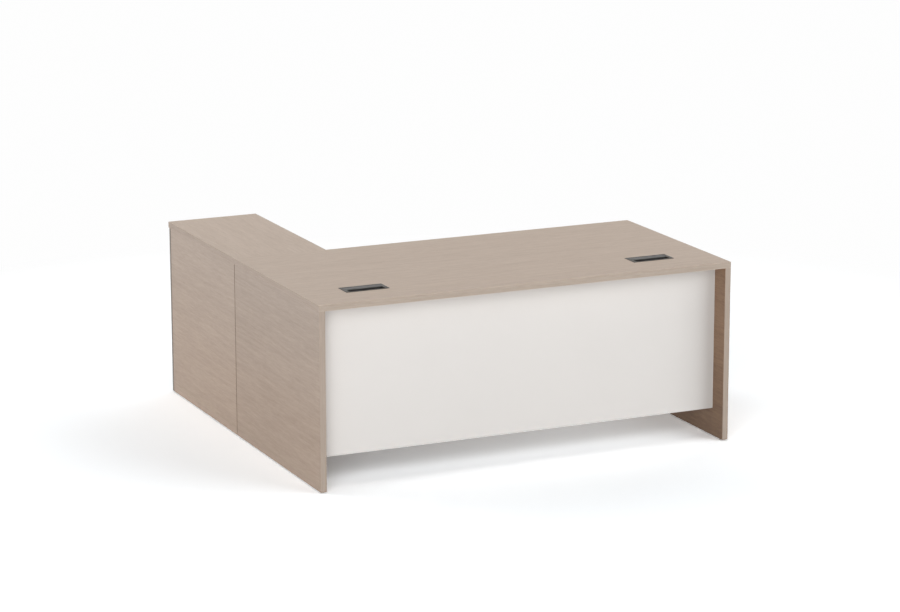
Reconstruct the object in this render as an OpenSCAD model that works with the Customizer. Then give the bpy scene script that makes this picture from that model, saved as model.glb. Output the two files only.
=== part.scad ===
// L-shaped office desk with a storage return.
// Millimetres. The origin is on the floor, at the middle of the desk's bounding box.
// +Z is up. The visitor stands at -Y, and the user sits at +Y, beside the return on the -X side.
// Sites below are given from the desk's front left corner, and desk_place() moves them to the origin.

/* [Desk] */
// Width of the main top
desk_w = 1800; // [1500:10:2200]
// Depth of the main top
main_d = 900; // [750:10:1000]
// Height of the worktop above the floor
desk_h = 750; // [720:5:780]
// Thickness of both tops
top_t = 25; // [22:1:36]
// Thickness of the two side panels
panel_t = 25; // [20:1:36]

/* [Return] */
// Length of the return beyond the main top
return_l = 800; // [740:10:1000]
// Width of the return top
return_w = 400; // [400:10:500]
// Thickness of the cabinet's boards
carcass_t = 18; // [16:1:20]
// How far the top stands proud of the cabinet's rear
rear_overhang = 10; // [0:1:30]
// How far the left side panel runs under the return top
joint_lap = 5.5; // [0:0.5:10]
// Shadow gap between the left side panel and the cabinet
joint_gap = 3; // [1:0.5:6]
// How far the rear end panel's edge sits behind the outer panel's face
rear_recess = 0; // [0:0.5:4]
// How far the drawer and door faces sit behind the top's inner edge
front_setback = 4; // [0:1:12]

/* [Modesty panel] */
// Thickness of the white panel
modesty_t = 18; // [16:1:25]
// Distance from the desk's front edge to the panel's face
modesty_setback = 85; // [60:5:90]
// Height of the panel's lower edge above the floor
modesty_clear = 120; // [80:5:250]

/* [Floor glides] */
// Height of a glide's foot
glide_h = 4; // [3:0.5:8]
// Diameter of a glide's foot
glide_d = 15; // [10:1:16]
// Diameter of a glide's stem
glide_stem_d = 6; // [4:0.5:8]
// Length of a glide's stem
glide_stem_l = 12; // [8:1:25]
// Distance of a glide from its panel's end
glide_inset = 60; // [40:5:90]

/* [Cable boxes] */
// Length of a cable box's flange
flange_w = 182; // [150:1:240]
// Depth of a cable box's flange
flange_d = 84; // [80:1:110]
// How far the flange stands above the worktop
flange_t = 1.5; // [1:0.5:3]
// Width of the flange over the end walls
flange_end = 15; // [14:0.5:24]
// Width of the flange along its front and its rear
flange_side = 5.5; // [5:0.5:8]
// Thickness of the throat's front and rear walls
throat_wall = 2; // [1.5:0.5:3]
// Thickness of the throat's end walls
throat_end = 9.5; // [7:0.5:12]
// Depth of the throat below the worktop
throat_h = 30; // [26:1:45]
// Distance of a box's middle from the desk's side
box_side_inset = 270; // [220:5:400]
// Distance of a box's middle from the desk's front edge
box_front_inset = 195; // [170:5:300]
// Gap between a throat and the cut-out in the top
cutout_clear = 0.5; // [0.2:0.1:1.5]
// Thickness of a flip lid
lid_t = 3; // [2:0.5:3]
// Depth of the slot that the brush fills
slot_d = 34; // [25:1:42]
// Gap round a flip lid
lid_gap = 0.6; // [0.3:0.1:1.2]
// Diameter of a lid's hinge pin
pin_d = 3; // [2:0.5:3]
// Outer diameter of a lid's hinge knuckle
knuckle_d = 7; // [6:0.5:7]

/* [Brushes] */
// Bristles in one row of a brush
bristles = 100; // [80:1:120]
// Thickness of a bristle
bristle_t = 0.8; // [0.4:0.1:1]
// Depth of the strip that holds the bristles
holder_d = 5; // [4:0.5:8]
// Height of the strip that holds the bristles
holder_h = 7; // [5:0.5:10]

/* [Cable tray] */
// Inner width of the tray
tray_w = 100; // [60:5:120]
// Depth of the tray below the top
tray_h = 75; // [50:5:100]
// Width of the tray's fixing flanges
tray_flange = 20; // [16:1:30]
// Sheet thickness of the tray and the brackets
sheet_t = 1.5; // [1:0.5:2.5]
// Gap between the tray's ends and the cable boxes
tray_end_gap = 30; // [10:5:80]

/* [Brackets and plates] */
// Length of a bracket's legs
bracket_leg = 40; // [30:1:44]
// Width of a bracket
bracket_w = 40; // [36:1:60]
// Width of a joining plate
plate_w = 60; // [50:1:70]
// How far a joining plate reaches past the inner end panel
plate_past = 24; // [20:1:40]
// Thickness of a joining plate
plate_t = 2.5; // [2:0.5:4]

/* [Cabinet] */
// Height of the plinth between the glides and the base
plinth_h = 56; // [40:2:100]
// How far the plinth sits behind the fronts
plinth_setback = 40; // [25:5:60]
// Width of the two rails under the return top
rail_w = 80; // [76:2:100]
// Gap round each inset front
front_gap = 2.5; // [1.5:0.5:4]
// Thickness of the drawer and door fronts
front_t = 18; // [16:1:20]
// Height of the shelf's underside above the base
shelf_rise = 318; // [190:32:446]
// Gap at the ends and the edges of the shelf
shelf_gap = 1.5; // [0.5:0.5:3]
// Diameter of a shelf pin and its holes
shelf_pin_d = 5; // [5:0.5:7]
// Holes in a row for the shelf pins
shelf_holes = 5; // [3:2:5]

/* [Drawers] */
// Height of the two shallow drawer fronts
shallow_h = 155; // [135:5:190]
// Length of the slides and the drawer boxes
slide_l = 350; // [300:10:350]
// Thickness of a drawer box's sides and back
box_t = 12; // [10:1:15]
// Thickness of a drawer's bottom
bottom_t = 6; // [4:1:8]
// Depth of the groove that holds a drawer's bottom
groove = 6; // [4:0.5:7]
// Height of the bottom's underside above the sides' lower edge
bottom_rise = 10; // [8:1:20]
// How far a box starts above its front's lower edge
box_up = 15; // [10:1:25]
// How far a box ends below its front's upper edge
box_down = 35; // [30:1:45]
// Height of a slide's outer member
slide_h = 45; // [42:1:48]
// Width of a slide, from the cabinet to the drawer
slide_w = 12.7; // [12:0.1:14]

/* [Pulls] */
// Spacing of a pull's two screws
pull_pitch = 128; // [96:32:160]
// Length of a pull past its screws, both ends together
pull_extra = 32; // [20:2:48]
// Height of a pull's bar
pull_bar_h = 12; // [10:1:16]
// Thickness of a pull's bar
pull_bar_t = 8; // [6:0.5:10]
// Distance of the bar from the front
pull_reach = 22; // [18:1:35]
// Diameter of a pull's posts
post_d = 9; // [8:0.5:10]
// Distance of a drawer's pull below the front's upper edge
pull_drop = 60; // [50:1:65]
// Distance of the door's pull from its free edge
door_pull_in = 40; // [30:1:60]

/* [Door] */
// Distance of the door's pivots behind its face
pivot_back = 6; // [6:0.5:8]
// Distance of the door's pivots from its edge
pivot_in = 10; // [8:0.5:12]
// Diameter of a pivot's pin
pivot_d = 6; // [4:0.5:6]
// Length of a pivot's pin on each side of its washer
pivot_l = 12; // [8:1:14]
// Width of the magnet catch
catch_w = 45; // [35:1:60]
// Height of the magnet catch
catch_h = 12; // [10:1:16]

/* [Lock] */
// Diameter of the lock's body
lock_d = 16; // [15:0.5:18]
// Diameter of the lock's face ring
lock_face_d = 20; // [19:0.5:24]
// Diameter of the turning cylinder
cylinder_d = 12; // [10:0.5:12]
// Distance of the lock below the drawer front's upper edge
lock_drop = 22; // [20:1:24]
// Distance of the lock from the drawer front's side edge
lock_in = 48; // [44:1:70]
// How far the tongue reaches into the rail when it is locked
tongue_bite = 6; // [4:0.5:8]
// Width of the tongue
tongue_w = 10; // [8:1:12]

/* [Fasteners] */
// Diameter of a cam housing
cam_d = 15; // [13:0.5:15]
// Depth of a cam housing
cam_depth = 12.5; // [11.5:0.5:13]
// Distance of a cam's middle from the joint
cam_edge = 34; // [32:1:38]
// Distance of a cam bolt's middle below the board's face
cam_in = 9; // [8:0.5:9]
// Diameter of a cam bolt's thread
bolt_d = 5; // [4:0.5:6]
// Length of a cam bolt's thread
bolt_thread = 11; // [9:0.5:12]
// Distance from a cam to the dowel beside it
dowel_pitch = 32; // [28:1:32]
// Diameter of a dowel
dowel_d = 8; // [6:0.5:8]
// Length of a dowel in the board's face
dowel_face = 12; // [9:0.5:12]
// Length of a dowel in the board's edge
dowel_edge = 18; // [14:0.5:24]
// Diameter of a screw's shank
screw_d = 4; // [3:0.5:4]
// How far a screw bites into the board
screw_bite = 12.5; // [10:0.5:14]
// Diameter of a screw's head
screw_head_d = 8; // [7:0.5:9]

/* [Hidden] */
$fn = 48;
running = 0.05;
tight = 0.02;
groove_gap = 0.2;
seam = 0.2;
plate_gap = 0.3;
screw_clear = 0.3;
head_t = 1.6;
recess_l = 4;
recess_w = 0.8;
shank_d = bolt_d + 1;
shank_clear = 0.8;
collar_l = 3;
neck_l = 5;
bolt_head_l = 3;
cross_l = 7;
cross_w = 1.2;
cross_depth = 2;
DRAWERS = [1, 2, 3];
SIDES = ["left", "right"];

LAMINATE = "#bcaea3";
EDGE = "#b4a69a";
CARCASS = "#8d7f73";
WHITE = "#dfdbd6";
GREY_METAL = "#6b6b6d";
LID_METAL = "#7a7a7c";
BLACK = "#26262a";
ZINC = "#b9bcc0";
STEEL = "#c9ccd0";
BEECH = "#d8b98a";
NYLON = "#3a3a3c";

total_d = main_d + return_l;
top_z = desk_h - top_t;
left_d = main_d + joint_lap;
modesty_back = modesty_setback + modesty_t;

cab_y0 = left_d + joint_gap;
cab_y1 = total_d - rear_overhang;
cab_x1 = return_w - front_setback;
end_y1 = cab_y0 + carcass_t;
rear_y0 = cab_y1 - carcass_t;
bay_w = (rear_y0 - end_y1 - carcass_t) / 2;
part_y0 = end_y1 + bay_w;
part_y1 = part_y0 + carcass_t;
base_z0 = glide_h + plinth_h;
base_z1 = base_z0 + carcass_t;
rail_z0 = top_z - carcass_t;
front_x0 = cab_x1 - front_t;
plinth_x1 = cab_x1 - plinth_setback;
rail_x = [carcass_t, cab_x1 - rail_w];

box_x = [box_side_inset, desk_w - box_side_inset];
open_w = flange_w - 2 * flange_end;
open_d = flange_d - 2 * flange_side;
throat_out = [open_w + 2 * throat_end, open_d + 2 * throat_wall];
cutout = [throat_out[0] + 2 * cutout_clear, throat_out[1] + 2 * cutout_clear];
flange_top = desk_h + flange_t;
hinge_y = box_front_inset + open_d / 2 - knuckle_d / 2 - 1.5;
hinge_z = flange_top - knuckle_d / 2 - 0.5;
lid_w = open_w - 2 * lid_gap;
lid_y0 = box_front_inset - open_d / 2 + slot_d;
lid_y1 = hinge_y + 2.5;
lid_z0 = flange_top - lid_t;
pin_bite = 7;
ledge_w = 3;
ledge_l = 8;
ledge_h = 4;
lip_w = 3;
lip_h = 1.5;
row_z = 1.2;
row_pitch = 2.1;

tray_x0 = box_side_inset + flange_w / 2 + tray_end_gap;
tray_x1 = desk_w - tray_x0;
tray_y0 = modesty_back + bracket_leg + 7;
tray_full_d = tray_w + 2 * sheet_t + 2 * tray_flange;
tray_screw_in = 40;
tie_pitch = 100;
tie_l = 40;
tie_w = 8;
bracket_hole = bracket_leg * 0.65;
bracket_x = [desk_w * 0.25, desk_w * 0.5, desk_w * 0.75];
plate_room = rail_x[1] - rail_x[0] - rail_w;
plate_x = [rail_x[0] + rail_w + plate_room * 0.25, rail_x[1] - plate_room * 0.25];
plate_z0 = top_z + plate_gap;
plate_half = end_y1 - main_d + plate_past;
plate_screw_in = [10, 15];
plate_dx = plate_w / 2 - plate_screw_in[0];
plate_dy = plate_half - plate_screw_in[1];

deep_h = rail_z0 - base_z1 - 2 * shallow_h - 4 * front_gap;
front_y = [end_y1 + front_gap, part_y0 - front_gap];
side_y = [end_y1 + slide_w, part_y0 - slide_w];
door_y = [part_y1 + front_gap, rear_y0 - front_gap];
door_z = [base_z1 + front_gap, rail_z0 - front_gap];
door_pull_drop = 90;
door_pull_at = [cab_x1, door_y[0] + door_pull_in, door_z[1] - pull_pitch / 2 - door_pull_drop];
pivot_x = cab_x1 - pivot_back;
pivot_y = door_y[1] - pivot_in;
strike_t = 1;
strike_in = 6;
catch_t = 15;
catch_y = door_y[0] + 12;
slide_x0 = front_x0 - slide_l;
slide_sheet = 1.2;
slide_step = 2.4;
outer_half = slide_h / 2;
middle_half = outer_half - slide_step;
inner_half = middle_half - slide_step;
outer_w = slide_w - 2.7;
middle_w0 = 3.2;
middle_w1 = slide_w - 1.7;
inner_w0 = 5.4;
slide_screw_x = [slide_x0 + 62, front_x0 - 74];
lock_y = front_y[1] - lock_in;
lock_z = rail_z0 - front_gap - lock_drop;
pull_bite = 10;
lock_tail = 5;
lock_ring = 1.5;
cylinder_out = 1.2;
square_w = 5;
keyway_w = 1.2;
keyway_h = 7;
keyway_l = 8;
tongue_t = 2;
tongue_x1 = front_x0 - lock_tail;
tongue_l = lock_drop + front_gap + tongue_bite;
keep_clear = 1.5;
keep_y = [lock_y - tongue_l * 0.7 - keep_clear, lock_y + tongue_w / 2 + keep_clear];

function front_h(n) = n == 3 ? deep_h : shallow_h;
function front_z(n) = n == 3 ? door_z[0] : rail_z0 - n * (shallow_h + front_gap);
function box_z(n) = front_z(n) + box_up;
function box_h(n) = front_h(n) - box_up - box_down;
function slide_z(n) = box_z(n) + box_h(n) / 2;

// Cam joints: a point on the joint, the way the bolt points, the way the cam opens,
// the cam board and the bolt board.
side_cam_in = 150;
cam_end = 60;
post_low = 80;
post_high = 110;
SIDE_CAM_Y = [side_cam_in, main_d / 2, main_d - cam_end];
MODESTY_CAM_Z = [modesty_clear + cam_end, top_z - cam_end];
BASE_CAM_X = [carcass_t + cam_end, plinth_x1 - carcass_t - dowel_pitch];
RAIL_CAM_X = [rail_x[0] + rail_w / 2, rail_x[1] + rail_w / 2];
POST_CAM_Z = [base_z1 + post_low, (base_z1 + rail_z0) / 2, rail_z0 - post_high];
modesty_in = modesty_back - cam_in;
end_mid = cab_y0 + carcass_t / 2;
rear_mid = rear_y0 + carcass_t / 2;

CAMS = concat(
    [for (y = SIDE_CAM_Y)
        [[panel_t - cam_in, y, top_z], [0, 0, 1], [1, 0, 0], "left_side_panel", "main_top"]],
    [for (y = SIDE_CAM_Y)
        [[desk_w - panel_t + cam_in, y, top_z], [0, 0, 1], [-1, 0, 0], "right_side_panel", "main_top"]],
    [for (z = MODESTY_CAM_Z)
        [[panel_t, modesty_in, z], [-1, 0, 0], [0, 1, 0], "modesty_panel", "left_side_panel"]],
    [for (z = MODESTY_CAM_Z)
        [[desk_w - panel_t, modesty_in, z], [1, 0, 0], [0, 1, 0], "modesty_panel", "right_side_panel"]],
    [for (x = BASE_CAM_X)
        [[x, end_y1, base_z0 + cam_in], [0, -1, 0], [0, 0, -1], "cabinet_base", "cabinet_inner_end_panel"]],
    [for (x = BASE_CAM_X)
        [[x, rear_y0, base_z0 + cam_in], [0, 1, 0], [0, 0, -1], "cabinet_base", "cabinet_rear_end_panel"]],
    [for (x = RAIL_CAM_X)
        [[x, end_y1, rail_z0 + cam_in], [0, -1, 0], [0, 0, -1],
         "cabinet_top_rails", "cabinet_inner_end_panel"]],
    [for (x = RAIL_CAM_X)
        [[x, rear_y0, rail_z0 + cam_in], [0, 1, 0], [0, 0, -1],
         "cabinet_top_rails", "cabinet_rear_end_panel"]],
    [for (x = RAIL_CAM_X)
        [[x, part_y1 - cam_in, rail_z0], [0, 0, 1], [0, 1, 0], "cabinet_partition", "cabinet_top_rails"]],
    [for (x = RAIL_CAM_X)
        [[x, part_y1 - cam_in, base_z1], [0, 0, -1], [0, 1, 0], "cabinet_partition", "cabinet_base"]],
    [for (z = POST_CAM_Z)
        [[carcass_t, end_y1 - cam_in, z], [-1, 0, 0], [0, 1, 0],
         "cabinet_inner_end_panel", "cabinet_outer_panel"]],
    [for (z = POST_CAM_Z)
        [[carcass_t - cam_in, rear_y0, z], [0, 1, 0], [1, 0, 0],
         "cabinet_outer_panel", "cabinet_rear_end_panel"]]
);

// Dowels: a point on the joint, the way into the face, the edge board and the face board.
plinth_mid = [plinth_x1 - carcass_t / 2, glide_h + plinth_h / 2];
DOWELS = concat(
    [for (c = CAMS) [c[0] + dowel_pitch * cross(c[1], c[2]), c[1], c[3], c[4]]],
    [[[plinth_mid[0], end_y1, plinth_mid[1]], [0, -1, 0], "cabinet_plinth", "cabinet_inner_end_panel"],
     [[plinth_mid[0], rear_y0, plinth_mid[1]], [0, 1, 0], "cabinet_plinth", "cabinet_rear_end_panel"]]
);

// Screws: the seat under the head, the way it drives, the sheet it holds and the board it bites.
SCREWS = concat(
    [for (x = plate_x, dx = [-plate_dx, plate_dx])
        [[x + dx, main_d - plate_dy, plate_z0], [0, 0, 1], plate_t, "main_top"]],
    [for (x = plate_x, dx = [-plate_dx, plate_dx])
        [[x + dx, main_d + plate_dy, plate_z0], [0, 0, 1], plate_t, "return_top"]],
    [for (x = RAIL_CAM_X, y = [end_y1 + bay_w / 4, rear_y0 - bay_w / 4])
        [[x, y, rail_z0], [0, 0, 1], carcass_t, "return_top"]],
    [for (x = bracket_x, dx = [-bracket_w / 4, bracket_w / 4])
        [[x + dx, modesty_back + bracket_hole, top_z - sheet_t], [0, 0, 1], sheet_t, "main_top"]],
    [for (x = bracket_x, dx = [-bracket_w / 4, bracket_w / 4])
        [[x + dx, modesty_back + sheet_t, top_z - bracket_hole], [0, -1, 0], sheet_t, "modesty_panel"]],
    [for (x = [tray_x0 + tray_screw_in, desk_w / 2, tray_x1 - tray_screw_in],
          y = [tray_y0 + tray_flange / 2, tray_y0 + tray_full_d - tray_flange / 2])
        [[x, y, top_z - sheet_t], [0, 0, 1], sheet_t, "main_top"]],
    [for (n = DRAWERS, x = slide_screw_x)
        [[x, end_y1 + slide_sheet, slide_z(n)], [0, -1, 0], slide_sheet, "cabinet_inner_end_panel"]],
    [for (n = DRAWERS, x = slide_screw_x)
        [[x, part_y0 - slide_sheet, slide_z(n)], [0, 1, 0], slide_sheet, "cabinet_partition"]]
);

// Glides: the middle of each foot and the panel that it is pressed into.
GLIDES = [
    [panel_t / 2, glide_inset, "left_side_panel"],
    [panel_t / 2, left_d - glide_inset, "left_side_panel"],
    [desk_w - panel_t / 2, glide_inset, "right_side_panel"],
    [desk_w - panel_t / 2, main_d - glide_inset, "right_side_panel"],
    [carcass_t + glide_inset, end_mid, "cabinet_inner_end_panel"],
    [cab_x1 - glide_inset, end_mid, "cabinet_inner_end_panel"],
    [glide_inset, rear_mid, "cabinet_rear_end_panel"],
    [cab_x1 - glide_inset, rear_mid, "cabinet_rear_end_panel"],
    [carcass_t / 2, (cab_y0 + rear_y0) / 2, "cabinet_outer_panel"]
];

// Shelf pins: the four corners of the shelf, and the rows of holes they stand in.
shelf_z = base_z1 + shelf_rise;
shelf_pin_in = 50;
shelf_x1 = front_x0 - 12;
SHELF_PIN_X = [carcass_t + shelf_pin_in, front_x0 - shelf_pin_in];
pin_out = 7;
pin_in = 9;
hole_pitch = 32;

// Moves the desk's front left corner from the origin to its place.
module desk_place() {
    translate([-desk_w / 2, -total_d / 2, 0]) children();
}

// A board between two opposite corners.
module board(low, high) {
    translate(low) cube(high - low);
}

// Turns local +Z to point along z and local +X along x, at a point.
module aim(point, z, x) {
    y = cross(z, x);
    multmatrix([
        [x[0], y[0], z[0], point[0]],
        [x[1], y[1], z[1], point[1]],
        [x[2], y[2], z[2], point[2]],
        [0, 0, 0, 1]
    ]) children();
}

// Any direction at a right angle to d, for round things.
function across(d) = abs(d[0]) > 0.5 ? [0, 1, 0] : [1, 0, 0];

// A cylinder from a point along a direction.
module rod(point, d, r, l) {
    aim(point, d, across(d)) cylinder(r = r, h = l);
}

// The bores that a board needs for the cams, dowels, screws and glides that name it.
module bores(name) {
    for (c = CAMS) {
        if (c[3] == name) aim(c[0], c[1], c[2]) cam_board_bores();
        if (c[4] == name) rod(c[0], c[1], bolt_d / 2 + tight, bolt_thread + 0.5);
    }
    for (d = DOWELS) {
        if (d[2] == name) rod(d[0], -d[1], dowel_d / 2 + tight, dowel_edge);
        if (d[3] == name) rod(d[0], d[1], dowel_d / 2 + tight, dowel_face);
    }
    for (s = SCREWS) {
        if (s[3] == name) rod(s[0], s[1], screw_d / 2 + tight, s[2] + screw_bite + 0.5);
    }
    for (g = GLIDES) {
        if (g[2] == name) translate([g[0], g[1], glide_h]) cylinder(d = glide_stem_d, h = glide_stem_l);
    }
}

// In the cam board: the pocket that opens on the face, and the bolt's channel from the edge.
module cam_board_bores() {
    translate([cam_in - cam_depth, 0, -cam_edge]) rotate([0, 90, 0])
        cylinder(d = cam_d + 2 * tight, h = cam_depth + 1);
    translate([0, 0, -cam_edge]) cylinder(r = shank_d / 2 + shank_clear, h = cam_edge + 0.01);
}

// A cam housing: a short drum with a slot for the bolt's head and a cross recess.
module cam_housing() {
    difference() {
        translate([cam_in - cam_depth, 0, -cam_edge]) rotate([0, 90, 0]) cylinder(d = cam_d, h = cam_depth);
        translate([0, 0, -cam_edge - 2.5]) cylinder(r = shank_d / 2 + shank_clear, h = cam_d);
        for (size = [[cross_l, cross_w], [cross_w, cross_l]])
            translate([cam_in, 0, -cam_edge]) cube([2 * cross_depth, size[0], size[1]], center = true);
    }
}

// A cam bolt: a thread, a collar on the joint, a shank, a neck and a head.
module cam_bolt() {
    cylinder(d = bolt_d, h = bolt_thread);
    translate([0, 0, -collar_l]) cylinder(d = shank_d + shank_clear, h = collar_l);
    translate([0, 0, -cam_edge + neck_l]) cylinder(d = shank_d, h = cam_edge - neck_l);
    translate([0, 0, -cam_edge]) cylinder(d = shank_d - 2, h = neck_l);
    translate([0, 0, -cam_edge - bolt_head_l / 2]) cylinder(d = shank_d, h = bolt_head_l);
}

module cam_housings() {
    color(ZINC) for (c = CAMS) aim(c[0], c[1], c[2]) cam_housing();
}

module cam_bolts() {
    color(STEEL) for (c = CAMS) aim(c[0], c[1], c[2]) cam_bolt();
}

module wooden_dowels() {
    color(BEECH) for (d = DOWELS)
        rod(d[0] - dowel_edge * d[1], d[1], dowel_d / 2, dowel_edge + dowel_face);
}

// A screw whose head seats at the local origin and whose shank runs along +Z.
module screw(l) {
    difference() {
        translate([0, 0, -head_t]) cylinder(d = screw_head_d, h = head_t);
        for (size = [[recess_l, recess_w], [recess_w, recess_l]])
            translate([0, 0, -head_t]) cube([size[0], size[1], 2 * recess_w], center = true);
    }
    cylinder(d = screw_d, h = l);
}

module panel_screws() {
    color(ZINC) for (s = SCREWS) aim(s[0], s[1], across(s[1])) screw(s[2] + screw_bite);
}

module floor_glides() {
    color(NYLON) for (g = GLIDES) translate([g[0], g[1], 0]) {
        cylinder(d1 = glide_d - 2, d2 = glide_d, h = 1);
        translate([0, 0, 1]) cylinder(d = glide_d, h = glide_h - 1);
        translate([0, 0, glide_h]) cylinder(d = glide_stem_d, h = glide_stem_l);
    }
}

// The recesses under both tops that the joining plates are let into.
module plate_recesses() {
    for (x = plate_x)
        board([x - plate_w / 2 - plate_gap, main_d - plate_half - plate_gap, top_z - 1],
              [x + plate_w / 2 + plate_gap, main_d + plate_half + plate_gap, plate_z0 + plate_t]);
}

module main_top() {
    color(LAMINATE) difference() {
        board([0, 0, top_z], [desk_w, main_d - seam / 2, desk_h]);
        for (x = box_x) translate([x - cutout[0] / 2, box_front_inset - cutout[1] / 2, top_z - 1])
            cube([cutout[0], cutout[1], top_t + 2]);
        plate_recesses();
        bores("main_top");
    }
}

module return_top() {
    color(LAMINATE) difference() {
        board([0, main_d + seam / 2, top_z], [return_w, total_d, desk_h]);
        plate_recesses();
        bores("return_top");
    }
}

module left_side_panel() {
    color(EDGE) difference() {
        board([0, 0, glide_h], [panel_t, left_d, top_z]);
        bores("left_side_panel");
    }
}

module right_side_panel() {
    color(EDGE) difference() {
        board([desk_w - panel_t, 0, glide_h], [desk_w, main_d, top_z]);
        bores("right_side_panel");
    }
}

module modesty_panel() {
    color(WHITE) difference() {
        board([panel_t, modesty_setback, modesty_clear], [desk_w - panel_t, modesty_back, top_z]);
        bores("modesty_panel");
    }
}

// Holes through a sheet for the screws that hold it.
module screw_holes(name) {
    for (s = SCREWS) if (s[3] == name) rod(s[0] - s[1], s[1], screw_d / 2 + screw_clear, s[2] + 2);
}

module modesty_brackets() {
    color(ZINC) difference() {
        for (x = bracket_x) {
            board([x - bracket_w / 2, modesty_back, top_z - sheet_t],
                  [x + bracket_w / 2, modesty_back + bracket_leg, top_z]);
            board([x - bracket_w / 2, modesty_back, top_z - bracket_leg],
                  [x + bracket_w / 2, modesty_back + sheet_t, top_z]);
        }
        screw_holes("main_top");
        screw_holes("modesty_panel");
    }
}

module joining_plates() {
    color(ZINC) difference() {
        for (x = plate_x)
            board([x - plate_w / 2, main_d - plate_half, plate_z0],
                  [x + plate_w / 2, main_d + plate_half, plate_z0 + plate_t]);
        screw_holes("main_top");
        screw_holes("return_top");
    }
}

// A U-shaped tray with two flanges and a row of tie slots.
module cable_tray() {
    y1 = tray_y0 + tray_flange;
    y2 = y1 + sheet_t;
    y3 = y2 + tray_w;
    y4 = y3 + sheet_t;
    low = top_z - tray_h;
    slots = floor((tray_x1 - tray_x0) / tie_pitch);
    color(NYLON) difference() {
        union() {
            board([tray_x0, tray_y0, top_z - sheet_t], [tray_x1, y2, top_z]);
            board([tray_x0, y1, low], [tray_x1, y2, top_z]);
            board([tray_x0, y1, low], [tray_x1, y4, low + sheet_t]);
            board([tray_x0, y3, low], [tray_x1, y4, top_z]);
            board([tray_x0, y3, top_z - sheet_t], [tray_x1, y4 + tray_flange, top_z]);
        }
        for (i = [0 : slots - 1])
            translate([tray_x0 + (i + 0.5) * tie_pitch, (y2 + y3) / 2, low])
                cube([tie_l, tie_w, 3 * sheet_t], center = true);
        screw_holes("main_top");
    }
}

// A cable box's frame: a flange, a throat, two ledges for the lid and the pin's bores.
module cable_box_frame(x) {
    y = box_front_inset;
    color(GREY_METAL) difference() {
        union() {
            translate([x - flange_w / 2, y - flange_d / 2, desk_h]) cube([flange_w, flange_d, flange_t]);
            translate([x - throat_out[0] / 2, y - throat_out[1] / 2, desk_h - throat_h])
                cube([throat_out[0], throat_out[1], throat_h]);
        }
        difference() {
            translate([x - open_w / 2, y - open_d / 2, desk_h - throat_h - 1])
                cube([open_w, open_d, throat_h + flange_t + 2]);
            for (e = [-1, 1])
                translate([x + e * open_w / 2, lid_y0 + ledge_l, lid_z0 - ledge_h / 2])
                    cube([2 * ledge_w, ledge_l, ledge_h], center = true);
        }
        translate([x - open_w / 2 - pin_bite, hinge_y, hinge_z]) rotate([0, 90, 0])
            cylinder(d = pin_d + 2 * tight, h = open_w + 2 * pin_bite);
    }
}

// A flip lid: a plate with a bevelled lip over a full-length knuckle.
module cable_box_lid(x) {
    color(LID_METAL) difference() {
        union() {
            translate([x - lid_w / 2, lid_y0, lid_z0]) cube([lid_w, lid_y1 - lid_y0, lid_t]);
            translate([x - lid_w / 2, hinge_y, hinge_z]) rotate([0, 90, 0])
                cylinder(d = knuckle_d, h = lid_w);
            translate([x - lid_w / 2, lid_y0, lid_z0 - lip_h]) cube([lid_w, lip_w, 2 * lip_h]);
        }
        translate([x - lid_w, hinge_y, hinge_z]) rotate([0, 90, 0])
            cylinder(d = pin_d + 2 * running, h = 2 * lid_w);
        for (e = [-1, 1]) translate([x + e * (open_w - ledge_w) / 2, lid_y0, lid_z0 - ledge_h])
            cube([ledge_w + 2, 2 * ledge_l, 2 * ledge_h], center = true);
    }
}

module cable_box_hinge_pins() {
    color(STEEL) for (x = box_x) translate([x - open_w / 2 - pin_bite, hinge_y, hinge_z]) rotate([0, 90, 0])
        cylinder(d = pin_d, h = open_w + 2 * pin_bite);
}

// One row of bristles: a comb of square strands that starts inside the holder.
module bristle_row(offset_x, pitch, l) {
    teeth = [for (i = [0 : bristles - 1], k = [0 : 3])
        [offset_x + i * pitch + (k < 2 ? 0 : bristle_t), k == 0 || k == 3 ? 0 : l]];
    linear_extrude(bristle_t)
        polygon(concat([[offset_x, -1]], teeth, [[offset_x + (bristles - 1) * pitch + bristle_t, -1]]));
}

// A brush: a strip along the front of the throat, and two rows that reach under the lid's lip.
module cable_box_brush(x) {
    y0 = box_front_inset - open_d / 2;
    z0 = lid_z0 - holder_h;
    pitch = (open_w - 2) / (bristles + 0.5);
    reach = lid_y0 + 2 - y0 - holder_d;
    color(BLACK) {
        translate([x - open_w / 2, y0, z0]) cube([open_w, holder_d, holder_h]);
        for (row = [0, 1])
            translate([x - open_w / 2 + 1, y0 + holder_d, z0 + row_z + row * row_pitch])
                bristle_row(row * pitch / 2, pitch, reach);
    }
}

module cabinet_outer_panel() {
    color(EDGE) difference() {
        board([0, cab_y0, glide_h], [carcass_t, rear_y0, top_z]);
        bores("cabinet_outer_panel");
    }
}

// A row of shelf-pin holes about the shelf, on both sides of the door's bay.
module shelf_pin_holes(y, d) {
    low = shelf_z - shelf_pin_d / 2 - hole_pitch * (shelf_holes - 1) / 2;
    for (x = SHELF_PIN_X, i = [0 : shelf_holes - 1])
        rod([x, y, low + i * hole_pitch], d, shelf_pin_d / 2 + tight, pin_in);
}

module cabinet_inner_end_panel() {
    color(CARCASS) difference() {
        board([carcass_t, cab_y0, glide_h], [cab_x1, end_y1, top_z]);
        bores("cabinet_inner_end_panel");
    }
}

module cabinet_rear_end_panel() {
    color(CARCASS) difference() {
        board([rear_recess, rear_y0, glide_h], [cab_x1, cab_y1, top_z]);
        bores("cabinet_rear_end_panel");
        shelf_pin_holes(rear_y0, [0, 1, 0]);
    }
}

module cabinet_base() {
    color(CARCASS) difference() {
        board([carcass_t, end_y1, base_z0], [cab_x1, rear_y0, base_z1]);
        bores("cabinet_base");
        translate([pivot_x, pivot_y, base_z1 - pivot_l]) cylinder(d = pivot_d, h = pivot_l + 1);
    }
}

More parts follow.
